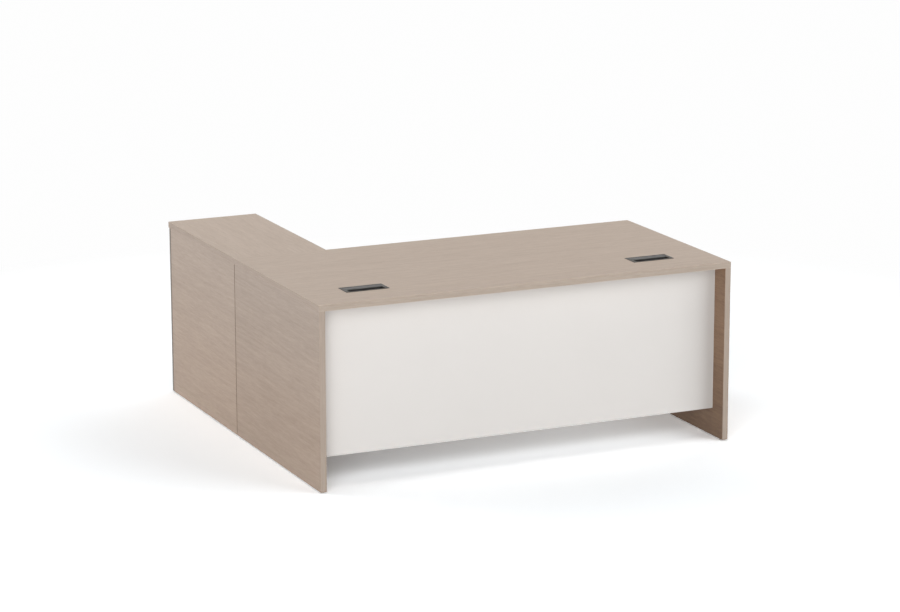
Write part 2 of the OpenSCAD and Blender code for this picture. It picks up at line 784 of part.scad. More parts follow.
module cabinet_partition() {
    color(CARCASS) difference() {
        board([carcass_t, part_y0, base_z1], [cab_x1, part_y1, rail_z0]);
        bores("cabinet_partition");
        shelf_pin_holes(part_y1, [0, -1, 0]);
    }
}

// Two rails under the return top. The front one holds the door's upper pivot and the lock's keep.
module cabinet_top_rails() {
    color(CARCASS) difference() {
        for (x = rail_x) board([x, end_y1, rail_z0], [x + rail_w, rear_y0, top_z]);
        bores("cabinet_top_rails");
        screw_holes("return_top");
        translate([pivot_x, pivot_y, rail_z0 - 1]) cylinder(d = pivot_d, h = pivot_l + 1);
        board([tongue_x1 - tongue_t - keep_clear, keep_y[0], rail_z0 - 1],
              [tongue_x1 + keep_clear, keep_y[1], rail_z0 + tongue_bite + keep_clear]);
    }
}

module cabinet_plinth() {
    color(CARCASS) difference() {
        board([plinth_x1 - carcass_t, end_y1, glide_h], [plinth_x1, rear_y0, base_z0]);
        bores("cabinet_plinth");
    }
}

module adjustable_shelf() {
    color(CARCASS) board([carcass_t + shelf_gap, part_y1 + shelf_gap, shelf_z],
                         [shelf_x1, rear_y0 - shelf_gap, shelf_z + carcass_t]);
}

module shelf_pins() {
    color(STEEL) for (x = SHELF_PIN_X) {
        rod([x, part_y1 - pin_in, shelf_z - shelf_pin_d / 2], [0, 1, 0], shelf_pin_d / 2, pin_in + pin_out);
        rod([x, rear_y0 + pin_in, shelf_z - shelf_pin_d / 2], [0, -1, 0], shelf_pin_d / 2, pin_in + pin_out);
    }
}

// A slide member lies along X. Its web stands at w0 from the cabinet, and its lips reach to w1.
module slide_member(n, w0, w1, lip_from, half_h) {
    translate([slide_x0, w0, slide_z(n) - half_h]) cube([slide_l, slide_sheet, 2 * half_h]);
    for (z = [slide_z(n) - half_h, slide_z(n) + half_h - slide_sheet])
        translate([slide_x0, lip_from, z])
            cube([slide_l, w1 - lip_from, slide_sheet]);
}

// Repeats a slide member on the cabinet's end panel and, mirrored, on the partition.
module both_slides() {
    translate([0, end_y1, 0]) children();
    translate([0, part_y0, 0]) mirror([0, 1, 0]) children();
}

module slide_outer_members() {
    color(STEEL) difference() {
        for (n = DRAWERS) both_slides() slide_member(n, 0, outer_w, 0, outer_half);
        screw_holes("cabinet_inner_end_panel");
        screw_holes("cabinet_partition");
    }
}

module drawer_middle_slides(n) {
    color(STEEL) both_slides() slide_member(n, middle_w0, middle_w1, middle_w0, middle_half);
}

module drawer_inner_slides(n) {
    color(STEEL) both_slides() slide_member(n, slide_w - slide_sheet, slide_w, inner_w0, inner_half);
}

module drawer_front(n) {
    z0 = front_z(n);
    color(LAMINATE) difference() {
        board([front_x0, front_y[0], z0], [cab_x1, front_y[1], z0 + front_h(n)]);
        board([front_x0 - 1, side_y[0] + box_t - groove, box_z(n) + bottom_rise],
              [front_x0 + groove, side_y[1] - box_t + groove,
               box_z(n) + bottom_rise + bottom_t + groove_gap]);
        for (y = drawer_pull_y()) translate([front_x0 - 1, y, drawer_pull_z(n)]) rotate([0, 90, 0])
            cylinder(d = screw_d + 2 * screw_clear, h = front_t + 2);
        if (n == 1) translate([front_x0 - 1, lock_y, lock_z]) rotate([0, 90, 0])
            cylinder(d = lock_d + 2 * tight, h = front_t + 2);
    }
}

// Two side boards, each with a groove for the bottom.
module drawer_sides(n) {
    z0 = box_z(n);
    color(WHITE) difference() {
        for (y = [side_y[0], side_y[1] - box_t])
            board([slide_x0, y, z0], [front_x0, y + box_t, z0 + box_h(n)]);
        board([slide_x0 - 1, side_y[0] + box_t - groove, z0 + bottom_rise],
              [front_x0 + 1, side_y[1] - box_t + groove, z0 + bottom_rise + bottom_t + groove_gap]);
    }
}

module drawer_back(n) {
    z0 = box_z(n) + bottom_rise + bottom_t;
    color(WHITE) board([slide_x0, side_y[0] + box_t, z0],
                       [slide_x0 + box_t, side_y[1] - box_t, box_z(n) + box_h(n)]);
}

module drawer_bottom(n) {
    z0 = box_z(n) + bottom_rise;
    reach = groove - groove_gap;
    color(WHITE) board([slide_x0, side_y[0] + box_t - reach, z0],
                       [front_x0 + reach, side_y[1] - box_t + reach, z0 + bottom_t]);
}

function drawer_pull_y() = [for (e = [-1, 1]) (front_y[0] + front_y[1]) / 2 + e * pull_pitch / 2];
function drawer_pull_z(n) = front_z(n) + front_h(n) - pull_drop;

// A pull and its two screws. Local X runs along the bar, and Z runs out from the front.
module pull() {
    bar_l = pull_pitch + pull_extra - pull_bar_h;
    difference() {
        union() {
            translate([-bar_l / 2, -pull_bar_h / 2, pull_reach]) cube([bar_l, pull_bar_h, pull_bar_t]);
            for (e = [-1, 1]) {
                translate([e * bar_l / 2, 0, pull_reach]) cylinder(d = pull_bar_h, h = pull_bar_t);
                translate([e * pull_pitch / 2, 0, 0]) cylinder(d = post_d, h = pull_reach + 1);
            }
        }
        for (e = [-1, 1]) translate([e * pull_pitch / 2, 0, -1])
            cylinder(d = screw_d + 2 * tight, h = pull_bite + 1.5);
    }
    for (e = [-1, 1]) translate([e * pull_pitch / 2, 0, -front_t]) {
        cylinder(d = screw_d, h = front_t + pull_bite);
        translate([0, 0, -head_t]) cylinder(d = screw_head_d, h = head_t);
    }
}

module drawer_pull(n) {
    at = [cab_x1, (front_y[0] + front_y[1]) / 2, drawer_pull_z(n)];
    color(GREY_METAL) aim(at, [1, 0, 0], [0, 1, 0]) pull();
}

// The lock's fixed shell: a ring on the drawer's face and a sleeve through the front.
module lock_housing() {
    color(STEEL) translate([front_x0 - lock_tail, lock_y, lock_z]) rotate([0, 90, 0]) difference() {
        union() {
            cylinder(d = lock_d, h = front_t + lock_tail);
            translate([0, 0, front_t + lock_tail]) 
                cylinder(d1 = lock_face_d, d2 = lock_face_d - lock_ring, h = lock_ring);
        }
        translate([0, 0, -1]) cylinder(d = cylinder_d + 2 * running, h = front_t + lock_tail + 4);
    }
}

// The cylinder that the key turns, with its keyway and the square that drives the tongue.
module lock_cylinder() {
    l = front_t + lock_tail + cylinder_out;
    color(STEEL) translate([front_x0 - lock_tail, lock_y, lock_z]) rotate([0, 90, 0]) difference() {
        union() {
            cylinder(d = cylinder_d, h = l);
            translate([-square_w / 2, -square_w / 2, -tongue_t - 1]) cube([square_w, square_w, tongue_t + 2]);
        }
        translate([-keyway_w / 2, -keyway_h / 2, l - keyway_l]) cube([keyway_w, keyway_h, keyway_l + 1]);
    }
}

module lock_tongue() {
    color(ZINC) translate([tongue_x1 - tongue_t, lock_y, lock_z]) difference() {
        union() {
            translate([0, -tongue_l, -tongue_w / 2]) cube([tongue_t, tongue_l, tongue_w]);
            rotate([0, 90, 0]) cylinder(d = tongue_w + 2, h = tongue_t);
        }
        translate([tongue_t / 2, 0, 0])
            cube([tongue_t + 2, square_w + 2 * tight, square_w + 2 * tight], center = true);
    }
}

module door_panel() {
    color(LAMINATE) difference() {
        board([front_x0, door_y[0], door_z[0]], [cab_x1, door_y[1], door_z[1]]);
        for (z = [door_z[0] - 1, door_z[1] - pivot_l - 0.5])
            translate([pivot_x, pivot_y, z]) cylinder(d = pivot_d + 2 * running, h = pivot_l + 1.5);
        for (e = [-1, 1]) translate([front_x0 - 1, door_pull_at[1], door_pull_at[2] + e * pull_pitch / 2])
            rotate([0, 90, 0]) cylinder(d = screw_d + 2 * screw_clear, h = front_t + 2);
    }
}

module door_pull() {
    color(GREY_METAL) aim(door_pull_at, [1, 0, 0], [0, 0, 1]) pull();
}

// A pin through a washer, pressed into the base below and into the front rail above.
module door_pivots() {
    washer_d = 2 * pivot_back - 1;
    color(STEEL) {
        translate([pivot_x, pivot_y, base_z1 - pivot_l]) cylinder(d = pivot_d, h = 2 * pivot_l + front_gap);
        translate([pivot_x, pivot_y, base_z1]) cylinder(d = washer_d, h = front_gap);
        translate([pivot_x, pivot_y, rail_z0 - pivot_l - front_gap])
            cylinder(d = pivot_d, h = 2 * pivot_l + front_gap);
        translate([pivot_x, pivot_y, rail_z0 - front_gap + 0.2]) cylinder(d = washer_d, h = front_gap - 0.2);
    }
}

// The magnet catch hangs under the front rail, and its strike is on the door.
module door_catch() {
    color(NYLON) board([front_x0 - strike_t - catch_t, catch_y, rail_z0 - catch_h],
                       [front_x0 - strike_t - 0.2, catch_y + catch_w, rail_z0]);
}

module door_strike() {
    color(STEEL) board([front_x0 - strike_t, catch_y + strike_in, rail_z0 - catch_h],
                       [front_x0, catch_y + catch_w - strike_in, door_z[1] - 1]);
}

desk_place() main_top();
desk_place() return_top();
desk_place() left_side_panel();
desk_place() right_side_panel();
desk_place() modesty_panel();
desk_place() modesty_brackets();
desk_place() joining_plates();
desk_place() cable_tray();
desk_place() cam_housings();
desk_place() cam_bolts();
desk_place() wooden_dowels();
desk_place() panel_screws();
desk_place() floor_glides();
desk_place() cable_box_hinge_pins();
for (i = [0, 1]) {
    desk_place() cable_box_frame(box_x[i]);
    desk_place() cable_box_lid(box_x[i]);
    desk_place() cable_box_brush(box_x[i]);
}
desk_place() cabinet_outer_panel();
desk_place() cabinet_inner_end_panel();
desk_place() cabinet_rear_end_panel();
desk_place() cabinet_base();
desk_place() cabinet_partition();
desk_place() cabinet_top_rails();
desk_place() cabinet_plinth();
desk_place() adjustable_shelf();
desk_place() shelf_pins();
desk_place() slide_outer_members();
for (n = DRAWERS) {
    desk_place() drawer_front(n);
    desk_place() drawer_sides(n);
    desk_place() drawer_back(n);
    desk_place() drawer_bottom(n);
    desk_place() drawer_pull(n);
    desk_place() drawer_inner_slides(n);
    desk_place() drawer_middle_slides(n);
}
desk_place() lock_housing();
desk_place() lock_cylinder();
desk_place() lock_tongue();
desk_place() door_panel();
desk_place() door_pull();
desk_place() door_pivots();
desk_place() door_catch();
desk_place() door_strike();
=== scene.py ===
"""Looks of an L-shaped office desk: wood-grain laminate boards, a white modesty panel, cable boxes with
brushes, and the fittings of its storage return. Lengths are in metres."""
import math

import bmesh
import bpy
from mathutils import Euler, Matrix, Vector


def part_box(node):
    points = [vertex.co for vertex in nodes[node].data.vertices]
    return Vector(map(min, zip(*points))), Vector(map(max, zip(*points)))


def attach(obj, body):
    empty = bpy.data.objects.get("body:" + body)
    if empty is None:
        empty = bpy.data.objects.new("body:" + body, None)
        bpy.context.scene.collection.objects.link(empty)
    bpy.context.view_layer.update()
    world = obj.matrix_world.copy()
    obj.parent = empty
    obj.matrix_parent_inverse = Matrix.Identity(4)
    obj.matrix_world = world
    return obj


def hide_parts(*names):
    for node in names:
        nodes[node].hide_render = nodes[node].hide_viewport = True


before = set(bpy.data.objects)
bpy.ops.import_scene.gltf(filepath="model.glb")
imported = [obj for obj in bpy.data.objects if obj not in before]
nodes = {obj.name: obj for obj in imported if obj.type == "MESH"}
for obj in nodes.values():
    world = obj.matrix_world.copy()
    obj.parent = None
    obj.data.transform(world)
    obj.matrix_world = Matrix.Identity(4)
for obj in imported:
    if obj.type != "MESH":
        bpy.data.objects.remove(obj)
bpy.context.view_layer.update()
scene = bpy.context.scene

MM = 0.001
X, Y, Z = 0, 1, 2
SIDES = ("left", "right")
DRAWERS = (1, 2, 3)
PICTURE = (900, 612)


class NodeTree:
    """A node tree under construction, with a shorthand for adding nodes."""

    def __init__(self, tree):
        self.tree = tree

    def add(self, kind, inputs=(), **settings):
        made = self.tree.nodes.new(kind)
        for key, value in settings.items():
            setattr(made, key, value)
        for key, value in dict(inputs).items():
            self.feed(value, made.inputs[key])
        return made

    def feed(self, value, socket):
        """Links a socket to an input, or sets it to a plain value."""
        if isinstance(value, bpy.types.NodeSocket):
            self.tree.links.new(value, socket)
        else:
            socket.default_value = value

    def math(self, operation, first, second=0.0, third=0.0, clamp=False):
        return self.add("ShaderNodeMath", {0: first, 1: second, 2: third}, operation=operation,
                        use_clamp=clamp).outputs[0]


def srgb(red, green, blue):
    """A colour read off a picture, as the linear colour that the shader takes."""
    def linear(value):
        part = value / 255
        return part / 12.92 if part <= 0.04045 else ((part + 0.055) / 1.055) ** 2.4
    return (linear(red), linear(green), linear(blue), 1.0)


# Camera and light

CAMERA_PLACE = (-5.3239, -11.7285, 3.5669)
CAMERA_TURN = (76.489, 0.075, -24.590)
FOCAL_PIXELS = 3163.8
SENSOR = 36.0
WORLD_LIGHT = 0.01
FLOOR_REACH = 40.0
# The floor's tone for plain light, and for the camera and reflections
FLOOR_TONE = 0.93
FLOOR_SEEN = (1.44, 1.48, 1.51)
# The floor turns into an even white between these distances from the desk's middle
BARE_FLOOR = (2.3, 3.6)
BARE_FLOOR_TONE = 0.988
# The point that all soft boxes face
LIT_POINT = (0, 0, 0.4)
# Soft boxes: place, size and watts
SOFT_BOXES = {
    "front_right_box": ((5, -6, 4), (6, 5), 350),
    "front_left_box": ((-5, -7, 3.5), (4, 4), 270),
    "front_low_left_box": ((-4, -8, 1.3), (4, 2), 205),
    "right_low_box": ((8, -3, 1.5), (4, 2), 145),
    "back_right_box": ((4, 4, 5), (5, 5), 126),
    "back_box": ((0, 7, 4), (6, 4), 106),
    "back_left_box": ((-5, 5, 4), (4, 4), 179),
    "left_box": ((-7.5, 3, 2.5), (4, 4), 165),
}


def add_camera():
    data = bpy.data.cameras.new("camera")
    data.sensor_width = SENSOR
    data.lens = FOCAL_PIXELS * SENSOR / PICTURE[0]
    camera = bpy.data.objects.new("camera", data)
    camera.location = CAMERA_PLACE
    camera.rotation_euler = Euler([math.radians(a) for a in CAMERA_TURN])
    scene.collection.objects.link(camera)
    scene.camera = camera


def add_soft_boxes():
    for name, (place, size, watts) in SOFT_BOXES.items():
        data = bpy.data.lights.new(name, "AREA")
        data.shape = "RECTANGLE"
        data.size, data.size_y = size
        data.energy = watts
        lamp = bpy.data.objects.new(name, data)
        lamp.location = place
        lamp.rotation_euler = (Vector(LIT_POINT) - Vector(place)).to_track_quat("-Z", "Y").to_euler()
        scene.collection.objects.link(lamp)


def seen_directly(look):
    """1 where the ray comes from the camera, a reflection or a clear material, and 0 for plain light."""
    path = look.add("ShaderNodeLightPath").outputs
    either = look.math("MAXIMUM", path["Is Camera Ray"], path["Is Glossy Ray"])
    return look.math("MAXIMUM", either, path["Is Transmission Ray"])


def add_world():
    world = bpy.data.worlds.new("studio")
    scene.world = world
    world.use_nodes = True
    look = NodeTree(world.node_tree)
    background = look.tree.nodes["Background"]
    background.inputs["Color"].default_value = (1, 1, 1, 1)
    strength = look.add("ShaderNodeMapRange", {"Value": seen_directly(look), "To Min": WORLD_LIGHT,
                                               "To Max": 1.0}).outputs["Result"]
    look.feed(strength, background.inputs["Strength"])


def floor_material():
    """A matt floor that keeps the desk's shadow and turns into a plain white one further out."""
    material = bpy.data.materials.new("studio_floor")
    material.use_nodes = True
    look = NodeTree(material.node_tree)
    look.tree.nodes.remove(look.tree.nodes["Principled BSDF"])
    seen = seen_directly(look)
    tone = look.add("ShaderNodeMix", {0: seen, 6: (FLOOR_TONE,) * 3 + (1,), 7: FLOOR_SEEN + (1,)},
                    data_type="RGBA").outputs[2]
    matt = look.add("ShaderNodeBsdfDiffuse", {"Color": tone}).outputs[0]
    bare = look.add("ShaderNodeEmission", {"Color": (BARE_FLOOR_TONE,) * 3 + (1,)}).outputs[0]
    place = look.add("ShaderNodeTexCoord").outputs["Object"]
    distance = look.add("ShaderNodeVectorMath", {0: place}, operation="LENGTH").outputs["Value"]
    away = look.add("ShaderNodeMapRange", {"Value": distance, "From Min": BARE_FLOOR[0],
                                           "From Max": BARE_FLOOR[1]},
                    interpolation_type="SMOOTHSTEP").outputs["Result"]
    share = look.math("MULTIPLY", away, seen)
    mixed = look.add("ShaderNodeMixShader", {0: share, 1: matt, 2: bare}).outputs[0]
    look.feed(mixed, look.tree.nodes["Material Output"].inputs["Surface"])
    return material


def add_floor():
    mesh = bpy.data.meshes.new("floor")
    reach = FLOOR_REACH
    mesh.from_pydata([(-reach, -reach, 0), (reach, -reach, 0), (reach, reach, 0), (-reach, reach, 0)], [],
                     [(0, 1, 2, 3)])
    mesh.materials.append(floor_material())
    floor = bpy.data.objects.new("floor", mesh)
    scene.collection.objects.link(floor)


scene.view_settings.view_transform = "Standard"
add_camera()
add_world()
add_floor()
add_soft_boxes()


# Materials

class Finish(NodeTree):
    """A material under construction, with its shader."""

    def __init__(self, name, roughness, metallic=0.0, specular=0.5):
        self.material = bpy.data.materials.new(name)
        self.material.use_nodes = True
        super().__init__(self.material.node_tree)
        self.shader = self.tree.nodes["Principled BSDF"]
        self.shader.inputs["Roughness"].default_value = roughness
        self.shader.inputs["Metallic"].default_value = metallic
        self.shader.inputs["Specular IOR Level"].default_value = specular
        self.place = self.tree.nodes.new("ShaderNodeTexCoord").outputs["Object"]

    def stretched(self, scale, warp=None):
        """The place that a texture reads, with a scale of its own for each axis."""
        place = self.place if warp is None else warp
        return self.add("ShaderNodeMapping", {"Vector": place, "Scale": scale}).outputs[0]

    def noise(self, scale, detail=3.0, roughness=0.55, warp=None):
        """A noise whose scale is given for each axis, in waves a metre."""
        found = self.add("ShaderNodeTexNoise", {"Vector": self.stretched(scale, warp), "Scale": 1.0,
                                                "Detail": detail, "Roughness": roughness})
        return found.outputs["Fac"]

    def ramp(self, value, low, high, to_low=0.0, to_high=1.0):
        """Takes the values between two to those between two others, and keeps the ends beyond them."""
        return self.add("ShaderNodeMapRange", {"Value": value, "From Min": low, "From Max": high,
                                               "To Min": to_low, "To Max": to_high}).outputs["Result"]

    def blend(self, factor, first, second):
        """A colour between two: the mix node's sockets 6, 7 and 2 are the colour ones."""
        return self.add("ShaderNodeMix", {0: factor, 6: first, 7: second}, data_type="RGBA").outputs[2]

    def times(self, colour, factor):
        return self.add("ShaderNodeVectorMath", {0: colour, 1: factor}, operation="MULTIPLY").outputs[0]

    def swing(self, tone, layer, depth):
        """Moves a tone by a noise layer, either way from the layer's middle."""
        return self.math("MULTIPLY_ADD", self.math("SUBTRACT", layer, 0.5), depth, tone)

    def layer(self, look, axis, warp=None):
        """A noise from a row of the grain's layers, drawn out along an axis."""
        waves, detail, roughness = look
        return self.noise(along(axis, *waves), detail, roughness, warp)

    def distance_along(self, axis):
        """How far a point is along an axis of the scene."""
        return self.add("ShaderNodeSeparateXYZ", {0: self.place}).outputs[axis]

    def near_side(self, distance):
        """1 on the side that a distance is measured from, and 0 on the rest of the board."""
        return self.ramp(distance, 1.2 * MM, 0.8 * MM)

    def colour(self, socket):
        self.tree.links.new(socket, self.shader.inputs["Base Color"])

    def rough(self, socket):
        self.tree.links.new(socket, self.shader.inputs["Roughness"])

    def bump(self, height, depth):
        bump = self.add("ShaderNodeBump", {"Height": height, "Distance": depth, "Strength": 1.0})
        self.tree.links.new(bump.outputs["Normal"], self.shader.inputs["Normal"])

    def edge_distances(self, low, high):
        """The distance from a point on a board's face to that face's nearest edge, and its distances from
        the board's nearer side along each axis."""
        def pair(operation, first, second):
            return self.add("ShaderNodeVectorMath", {0: first, 1: second}, operation=operation).outputs[0]

        near = pair("MINIMUM", pair("SUBTRACT", self.place, low), pair("SUBTRACT", high, self.place))
        a, b, c = self.add("ShaderNodeSeparateXYZ", {0: near}).outputs
        least = self.math("MINIMUM", a, b)
        most = self.math("MAXIMUM", a, b)
        return self.math("MAXIMUM", least, self.math("MINIMUM", most, c)), (a, b, c)


def shaded(tone, factor):
    """A colour made darker or paler by a factor, no brighter than white."""
    return tuple(min(1.0, factor * part) for part in tone[:3]) + (1.0,)


def along(axis, grain, across):
    """A scale for each axis: one value along the grain and another across it."""
    return tuple(grain if i == axis else across for i in range(3))


# The laminate's light and dark tones
# The tops and the upright boards share one laminate: the tops' paler tones, the upright boards' deeper ones
# and each band's own tone are painted light and shade
TOP_FACE_LIT = srgb(206, 188, 172), srgb(187, 167, 150)
SIDE_FACE_SHADED = srgb(168, 149, 133), srgb(146, 127, 112)
SIDE_FACE_HIGH_LIT = srgb(169, 153, 141), srgb(148, 133, 120)
# The face towards the knee space, painted in shade
KNEE_FACE_SHADED = srgb(149, 121, 97), srgb(119, 91, 70)
# Painted shade on the knee side: its tone is deeper at the floor, up to a height
KNEE_FOOT_SHADE, KNEE_SHADE_TOP = 0.68, 0.45
TOP_BAND = srgb(170, 157, 145), srgb(153, 140, 128)
# The tops' side edges have a band tone of their own: painted light
FLANK_BAND_LIT = srgb(176, 161, 150), srgb(155, 140, 128)
SIDE_BAND = srgb(161, 147, 135), srgb(146, 132, 120)
REAR_BAND = srgb(116, 106, 97), srgb(102, 93, 84)
CARCASS = srgb(140, 128, 117), srgb(126, 115, 105)
# The bare core's tones, dark also as painted shade in the seam
RAW_CORE_AND_SHADE = srgb(122, 98, 74), srgb(78, 60, 44)
TOP_GLOSS, SIDE_GLOSS = 0.15, 0.45
LAMINATE_ROUGHNESS = 0.58
# The glue line's tone and strength, and how much paler a rubbed edge is, partly as a painted highlight
GLUE_TONE, GLUE_SHARE, RUB_HIGHLIGHT_TONE = 0.62, 0.55, 1.18
# The grain's layers: waves a metre along and across it, then the noise's detail and roughness
DRIFT = (0.9, 5.0), 2.0, 0.55
BANDS = (1.0, 9.0), 3.0, 0.5
STREAKS = (4.5, 85.0), 3.0, 0.65
FIBRES = (20.0, 300.0), 4.0, 0.7
PORES = (45.0, 1500.0), 1.0, 0.5
END_STREAKS = (5.0, 200.0), 3.0, 0.6
END_FIBRES = (18.0, 900.0), 2.0, 0.6
# How far each layer moves the tone, from the dark one (0) to the light one (1)
BAND_DEPTH, STREAK_DEPTH, FIBRE_DEPTH, PORE_DEPTH = 0.28, 1.3, 1.8, 0.40
DRIFT_REACH = 12 * MM
# The noise values between which a pore opens
PORE_EDGE = 0.66, 0.72
# How far below the face the edge band starts, how far from an edge the wear and its painted highlight reach,
# and the distances from an edge where the glue line starts and ends
BAND_START = 0.5 * MM, 1.0 * MM
RUB_HIGHLIGHT_REACH = 1.6 * MM
LINE_START, LINE_END = (0.7 * MM, 0.9 * MM), (1.3 * MM, 1.1 * MM)
# The lines of brushed metal, as a layer
BRUSH_LINES = (12.0, 2500.0), 3.0, 0.7
# Upright boards are painted a little paler and greyer between these heights: painted sheen from above
SHEEN_HEIGHTS = 0.25, 0.70
# Boards painted a little paler than the others: painted light on the flank's rear board
BOARD_LIGHT_GAIN = {"cabinet_outer_panel": 1.07}
# The side of each panel, along X, that faces the knee space, painted in shade
SHADED_KNEE_SIDES = {"left_side_panel": 1, "right_side_panel": -1}
# The end of each board, along Y, that butts against its neighbour, or that shows its raw core in a seam,
# darkened there as painted shade
JOINED_ENDS = {"main_top": 1, "return_top": -1}
RAW_SHADED_ENDS = {"left_side_panel": 1, "cabinet_outer_panel": -1}
# How far past a joined end its edge is taken to be, so that no line, wear or painted highlight shows there
JOIN_CLEAR = 10 * MM

# The axis that each board's grain follows
GRAIN = {
    "main_top": X, "return_top": Y, "left_side_panel": Y, "right_side_panel": Y, "cabinet_outer_panel": Y,
    "drawer_1_front": Y, "drawer_2_front": Y, "drawer_3_front": Y, "door_panel": Y,
    "cabinet_inner_end_panel": X, "cabinet_rear_end_panel": X, "cabinet_base": Y, "cabinet_partition": X,
    "cabinet_top_rails": Y, "cabinet_plinth": Y, "adjustable_shelf": Y,
}
TOPS = ("main_top", "return_top")
PANELS = ("left_side_panel", "right_side_panel", "cabinet_outer_panel")
FRONTS = ("drawer_1_front", "drawer_2_front", "drawer_3_front", "door_panel")


def printed_grain(finish, grain):
    """The print's tone, from the dark one (0) to the light one (1), and its fibres and pores."""
    shift = finish.ramp(finish.layer(DRIFT, grain), 0.0, 1.0, -DRIFT_REACH, DRIFT_REACH)
    warp = finish.add("ShaderNodeVectorMath", {0: finish.place, 1: shift}, operation="ADD").outputs[0]
    bands, streaks, fibres, holes = [finish.layer(look, grain, warp)
                                     for look in (BANDS, STREAKS, FIBRES, PORES)]
    pores = finish.ramp(holes, *PORE_EDGE)
    tone = finish.swing(0.5, bands, BAND_DEPTH)
    tone = finish.swing(tone, streaks, STREAK_DEPTH)
    tone = finish.swing(tone, fibres, FIBRE_DEPTH)
    return finish.math("MULTIPLY_ADD", pores, -PORE_DEPTH, tone, clamp=True), fibres, pores


def printed_end(finish, axis):
    """The print's tone on a board's end, where the lines run along the band."""
    tone = finish.swing(0.5, finish.layer(END_STREAKS, axis), STREAK_DEPTH)
    return finish.swing(tone, finish.layer(END_FIBRES, axis), FIBRE_DEPTH)


def upright_face(finish, board, tone, colour, thin, middle):
    """An upright board's face, painted paler and greyer high up as painted sheen. The face towards the knee
    space gets less light, painted as shade: a deeper tone, deeper still near the floor."""
    height = finish.distance_along(Z)
    # Painted sheen: the face turns paler and greyer with height
    sheen_colour = finish.blend(tone, SIDE_FACE_HIGH_LIT[1], SIDE_FACE_HIGH_LIT[0])
    colour = finish.blend(finish.ramp(height, *SHEEN_HEIGHTS), colour, sheen_colour)
    # Painted light: some boards are made paler
    colour = finish.times(colour, (BOARD_LIGHT_GAIN.get(board, 1.0),) * 3)
    # Painted shade on the knee side, deeper towards the floor
    if board in SHADED_KNEE_SIDES:
        in_knee_shade = finish.ramp(finish.distance_along(thin), middle, middle + SHADED_KNEE_SIDES[board] * MM)
        foot_shade = finish.ramp(height, 0.0, KNEE_SHADE_TOP, KNEE_FOOT_SHADE, 1.0)
        knee_shade_colour = finish.times(finish.blend(tone, KNEE_FACE_SHADED[1], KNEE_FACE_SHADED[0]), foot_shade)
        colour = finish.blend(in_knee_shade, colour, knee_shade_colour)
    return colour


def worn_and_highlit_edges(finish, colour, edge, band):
    """Edges that are rubbed a little paler, partly a painted highlight, with the dark line of the band's
    glue beside them.
    """
    rub_and_highlight = finish.math("MULTIPLY", finish.ramp(edge, RUB_HIGHLIGHT_REACH, 0.0, 0.0, 0.5),
                      finish.ramp(finish.noise((40, 40, 40), 3.0), 0.45, 0.65))
    worn = finish.blend(rub_and_highlight, colour, shaded(band[0], RUB_HIGHLIGHT_TONE))
    line = finish.math("MULTIPLY", finish.ramp(edge, *LINE_START), finish.ramp(edge, *LINE_END))
    return finish.blend(finish.math("MULTIPLY", line, GLUE_SHARE), worn, shaded(band[1], GLUE_TONE))


def raw_core_and_seam_shade(finish, colour, end, side):
    """The bare core on the end that faces a seam, on the low (-1) or the high (1) side; its dark tone is
    partly painted shade in the seam.
    """
    chips = finish.noise((420, 420, 420), 2.0, 0.7)
    core = finish.blend(finish.ramp(chips, 0.4, 0.6), RAW_CORE_AND_SHADE[1], RAW_CORE_AND_SHADE[0])
    seam_shade = finish.ramp(finish.distance_along(Y), end - side * 1.0 * MM, end - side * 0.6 * MM)
    return finish.blend(seam_shade, colour, core)


def laminate(name, board, grain, face, band, gloss):
    """Wood-grain laminate on one board: slow bands, streaks, fine fibres and short pores, and a glued edge
    band of its own tone. The face and the band each have a light and a dark tone. An edge that butts against
    another board has neither line, wear nor painted highlight."""
    finish = Finish(name, LAMINATE_ROUGHNESS, specular=gloss)
    low, high = [list(corner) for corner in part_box(board)]
    thin = min(range(3), key=lambda i: high[i] - low[i])
    raw_shaded_side = RAW_SHADED_ENDS.get(board, 0)
    raw_shaded_end = high[Y] if raw_shaded_side > 0 else low[Y]
    if board in JOINED_ENDS:
        end = high if JOINED_ENDS[board] > 0 else low
        end[Y] += JOINED_ENDS[board] * JOIN_CLEAR
    tone, fibres, pores = printed_grain(finish, grain)
    edge, nearest = finish.edge_distances(low, high)
    face_colour = finish.blend(tone, face[1], face[0])
    if board in PANELS + FRONTS:
        face_colour = upright_face(finish, board, tone, face_colour, thin, (low[thin] + high[thin]) / 2)
    end_tone = printed_end(finish, 3 - grain - thin)
    band_tone = finish.add("ShaderNodeMix", {0: finish.near_side(nearest[grain]), 2: tone,
                                             3: end_tone}).outputs[0]
    band_colour = finish.blend(band_tone, band[1], band[0])
    if board in TOPS:
        # Painted light: the tops' side edges take a band tone of their own
        flank_lit_colour = finish.blend(band_tone, FLANK_BAND_LIT[1], FLANK_BAND_LIT[0])
        band_colour = finish.blend(finish.near_side(nearest[X]), band_colour, flank_lit_colour)
    on_band = finish.ramp(nearest[thin], *BAND_START)
    dressed = worn_and_highlit_edges(finish, finish.blend(on_band, face_colour, band_colour), edge, band)
    # Painted shade in the seam, shown as the bare core
    if raw_shaded_side:
        dressed = raw_core_and_seam_shade(finish, dressed, raw_shaded_end, raw_shaded_side)
    finish.colour(dressed)
    finish.rough(finish.ramp(finish.math("ADD", fibres, pores), 0.3, 1.3, LAMINATE_ROUGHNESS - 0.05,
                             LAMINATE_ROUGHNESS + 0.1))
    finish.bump(finish.math("SUBTRACT", fibres, finish.math("MULTIPLY", pores, 0.8)), 0.06 * MM)
    return finish.material


